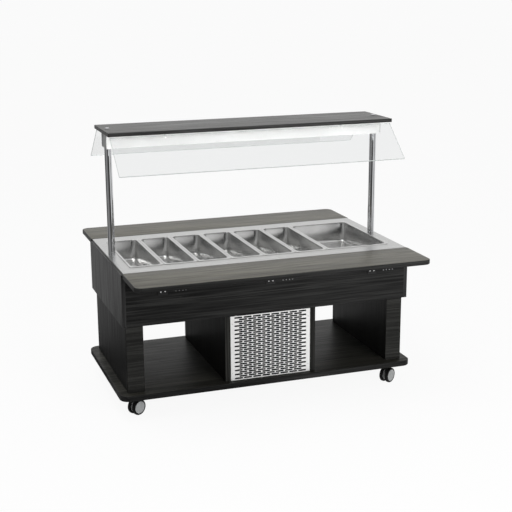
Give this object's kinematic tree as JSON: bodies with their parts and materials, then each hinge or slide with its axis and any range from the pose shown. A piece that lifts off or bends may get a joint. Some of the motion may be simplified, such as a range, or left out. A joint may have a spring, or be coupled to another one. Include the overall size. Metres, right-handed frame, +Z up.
{
  "type": "refrigerated buffet trolley",
  "caption": "Dark laminate buffet trolley on swivel casters with a chilled row of lift-out pans, fold-down side shelves, a slotted machine panel and a lit canopy with slanted glass screens.",
  "frame": {"origin": "on the floor, under the middle of the base board", "axes": "+X along the row of pans, to the right seen from the front; the front faces -Y; +Z up"},
  "size_m": [1.468, 1.224, 1.312],
  "materials": {
    "dark_laminate": "satin wood-grain laminate",
    "grey_laminate": "satin wood-grain laminate",
    "satin_steel": "satin",
    "pan_steel": "bright satin",
    "foam": "rigid foam",
    "black_steel": "semi-matte",
    "bright_screw": "bright",
    "chrome_tube": "polished",
    "white_steel": "gloss white",
    "opal_plastic": "opal",
    "clear_glass": "clear, polished edges",
    "clip_steel": "dark",
    "panel_steel": "fine brushed",
    "compressor_paint": "gloss black",
    "fin_aluminium": "mill",
    "motor_metal": "satin",
    "fan_plastic": "moulded",
    "copper": "drawn copper",
    "control_plastic": "moulded",
    "switch_plastic": "gloss",
    "caster_plastic": "moulded",
    "wheel_rubber": "tyre on a grey hub disc"
  },
  "bodies": {
    "chassis": {"base_board": "dark_laminate", "left_outer_side": "dark_laminate", "right_outer_side": "dark_laminate", "left_leg_boards": "dark_laminate", "right_leg_boards": "dark_laminate", "left_partition": "dark_laminate", "right_partition": "dark_laminate", "bay_ceiling": "dark_laminate", "left_side_board": "dark_laminate", "right_side_board": "dark_laminate", "front_apron": "dark_laminate", "rear_apron": "dark_laminate", "canopy_board": "grey_laminate", "steel_deck": "satin_steel", "well_liner": "satin_steel", "pan_support_bars": "satin_steel", "well_insulation": "foam", "bracket_plates": "black_steel", "screws": "bright_screw", "left_post": "chrome_tube", "right_post": "chrome_tube", "light_housing": "white_steel", "lamp_and_diffuser": "opal_plastic", "front_glass": "clear_glass", "rear_glass": "clear_glass", "glass_clips": "clip_steel", "front_grille": "panel_steel", "rear_panel": "panel_steel", "compressor": "compressor_paint", "condenser": "fin_aluminium", "fan_motor": "motor_metal", "refrigerant_pipes": "copper", "control_housings": "control_plastic", "inlet_gland": "control_plastic"},
    "fan": {"fan_blade": "fan_plastic"},
    "main_rocker_key": {"main_switch": "switch_plastic"},
    "light_rocker_key": {"light_switch": "switch_plastic"},
    "narrow_pan_1_body": {"narrow_pan_1": "pan_steel"},
    "narrow_pan_2_body": {"narrow_pan_2": "pan_steel"},
    "narrow_pan_3_body": {"narrow_pan_3": "pan_steel"},
    "narrow_pan_4_body": {"narrow_pan_4": "pan_steel"},
    "narrow_pan_5_body": {"narrow_pan_5": "pan_steel"},
    "narrow_pan_6_body": {"narrow_pan_6": "pan_steel"},
    "wide_pan_body": {"wide_pan": "pan_steel"},
    "front_flap": {"front_shelf": "grey_laminate", "front_shelf_arms": "black_steel"},
    "rear_flap": {"rear_shelf": "grey_laminate", "rear_shelf_arms": "black_steel"},
    "front_left_caster": {"caster_front_left_fork": "caster_plastic"},
    "front_left_left_wheel_body": {"caster_front_left_left_wheel": "wheel_rubber"},
    "front_left_right_wheel_body": {"caster_front_left_right_wheel": "wheel_rubber"},
    "front_right_caster": {"caster_front_right_fork": "caster_plastic"},
    "front_right_left_wheel_body": {"caster_front_right_left_wheel": "wheel_rubber"},
    "front_right_right_wheel_body": {"caster_front_right_right_wheel": "wheel_rubber"},
    "rear_left_caster": {"caster_rear_left_fork": "caster_plastic"},
    "rear_left_left_wheel_body": {"caster_rear_left_left_wheel": "wheel_rubber"},
    "rear_left_right_wheel_body": {"caster_rear_left_right_wheel": "wheel_rubber"},
    "rear_right_caster": {"caster_rear_right_fork": "caster_plastic"},
    "rear_right_left_wheel_body": {"caster_rear_right_left_wheel": "wheel_rubber"},
    "rear_right_right_wheel_body": {"caster_rear_right_right_wheel": "wheel_rubber"}
  },
  "joints": [
    {"name": "fan_spin", "type": "hinge", "parent": "chassis", "child": "fan", "pos_m": [0, -0.242, 0.245], "axis": [0, 1, 0], "continuous": true},
    {"name": "main_rocker", "type": "hinge", "parent": "chassis", "child": "main_rocker_key", "pos_m": [0.01, 0.35, 0.403], "axis": [1, 0, 0], "range_deg": [-16, 0]},
    {"name": "light_rocker", "type": "hinge", "parent": "chassis", "child": "light_rocker_key", "pos_m": [-0.04, 0.35, 0.403], "axis": [1, 0, 0], "range_deg": [-16, 0]},
    {"name": "narrow_pan_1_lift", "type": "slide", "parent": "chassis", "child": "narrow_pan_1_body", "axis": [0, 0, 1], "range_m": [0, 0.16]},
    {"name": "narrow_pan_2_lift", "type": "slide", "parent": "chassis", "child": "narrow_pan_2_body", "axis": [0, 0, 1], "range_m": [0, 0.16]},
    {"name": "narrow_pan_3_lift", "type": "slide", "parent": "chassis", "child": "narrow_pan_3_body", "axis": [0, 0, 1], "range_m": [0, 0.16]},
    {"name": "narrow_pan_4_lift", "type": "slide", "parent": "chassis", "child": "narrow_pan_4_body", "axis": [0, 0, 1], "range_m": [0, 0.16]},
    {"name": "narrow_pan_5_lift", "type": "slide", "parent": "chassis", "child": "narrow_pan_5_body", "axis": [0, 0, 1], "range_m": [0, 0.16]},
    {"name": "narrow_pan_6_lift", "type": "slide", "parent": "chassis", "child": "narrow_pan_6_body", "axis": [0, 0, 1], "range_m": [0, 0.16]},
    {"name": "wide_pan_lift", "type": "slide", "parent": "chassis", "child": "wide_pan_body", "axis": [0, 0, 1], "range_m": [0, 0.16]},
    {"name": "front_shelf_fold", "type": "hinge", "parent": "chassis", "child": "front_flap", "pos_m": [0, -0.362, 0.669], "axis": [1, 0, 0], "range_deg": [0, 90]},
    {"name": "rear_shelf_fold", "type": "hinge", "parent": "chassis", "child": "rear_flap", "pos_m": [0, 0.362, 0.669], "axis": [-1, 0, 0], "range_deg": [0, 90]},
    {"name": "front_left_swivel", "type": "hinge", "parent": "chassis", "child": "front_left_caster", "pos_m": [-0.66, -0.286, 0.103], "axis": [0, 0, 1], "continuous": true},
    {"name": "front_left_left_roll", "type": "hinge", "parent": "front_left_caster", "child": "front_left_left_wheel_body", "pos_m": [-0.64251, -0.2763, 0.0375], "axis": [0.4848, -0.8746, 0], "continuous": true},
    {"name": "front_left_right_roll", "type": "hinge", "parent": "front_left_caster", "child": "front_left_right_wheel_body", "pos_m": [-0.64251, -0.2763, 0.0375], "axis": [0.4848, -0.8746, 0], "continuous": true},
    {"name": "front_right_swivel", "type": "hinge", "parent": "chassis", "child": "front_right_caster", "pos_m": [0.66, -0.286, 0.103], "axis": [0, 0, 1], "continuous": true},
    {"name": "front_right_left_roll", "type": "hinge", "parent": "front_right_caster", "child": "front_right_left_wheel_body", "pos_m": [0.64304, -0.2966, 0.0375], "axis": [-0.5299, 0.848, 0], "continuous": true},
    {"name": "front_right_right_roll", "type": "hinge", "parent": "front_right_caster", "child": "front_right_right_wheel_body", "pos_m": [0.64304, -0.2966, 0.0375], "axis": [-0.5299, 0.848, 0], "continuous": true},
    {"name": "rear_left_swivel", "type": "hinge", "parent": "chassis", "child": "rear_left_caster", "pos_m": [-0.66, 0.286, 0.103], "axis": [0, 0, 1], "continuous": true},
    {"name": "rear_left_left_roll", "type": "hinge", "parent": "rear_left_caster", "child": "rear_left_left_wheel_body", "pos_m": [-0.64005, 0.2846, 0.0375], "axis": [-0.0698, -0.9976, 0], "continuous": true},
    {"name": "rear_left_right_roll", "type": "hinge", "parent": "rear_left_caster", "child": "rear_left_right_wheel_body", "pos_m": [-0.64005, 0.2846, 0.0375], "axis": [-0.0698, -0.9976, 0], "continuous": true},
    {"name": "rear_right_swivel", "type": "hinge", "parent": "chassis", "child": "rear_right_caster", "pos_m": [0.66, 0.286, 0.103], "axis": [0, 0, 1], "continuous": true},
    {"name": "rear_right_left_roll", "type": "hinge", "parent": "rear_right_caster", "child": "rear_right_left_wheel_body", "pos_m": [0.67841, 0.27819, 0.0375], "axis": [-0.3907, -0.9205, 0], "continuous": true},
    {"name": "rear_right_right_roll", "type": "hinge", "parent": "rear_right_caster", "child": "rear_right_right_wheel_body", "pos_m": [0.67841, 0.27819, 0.0375], "axis": [-0.3907, -0.9205, 0], "continuous": true}
  ]
}
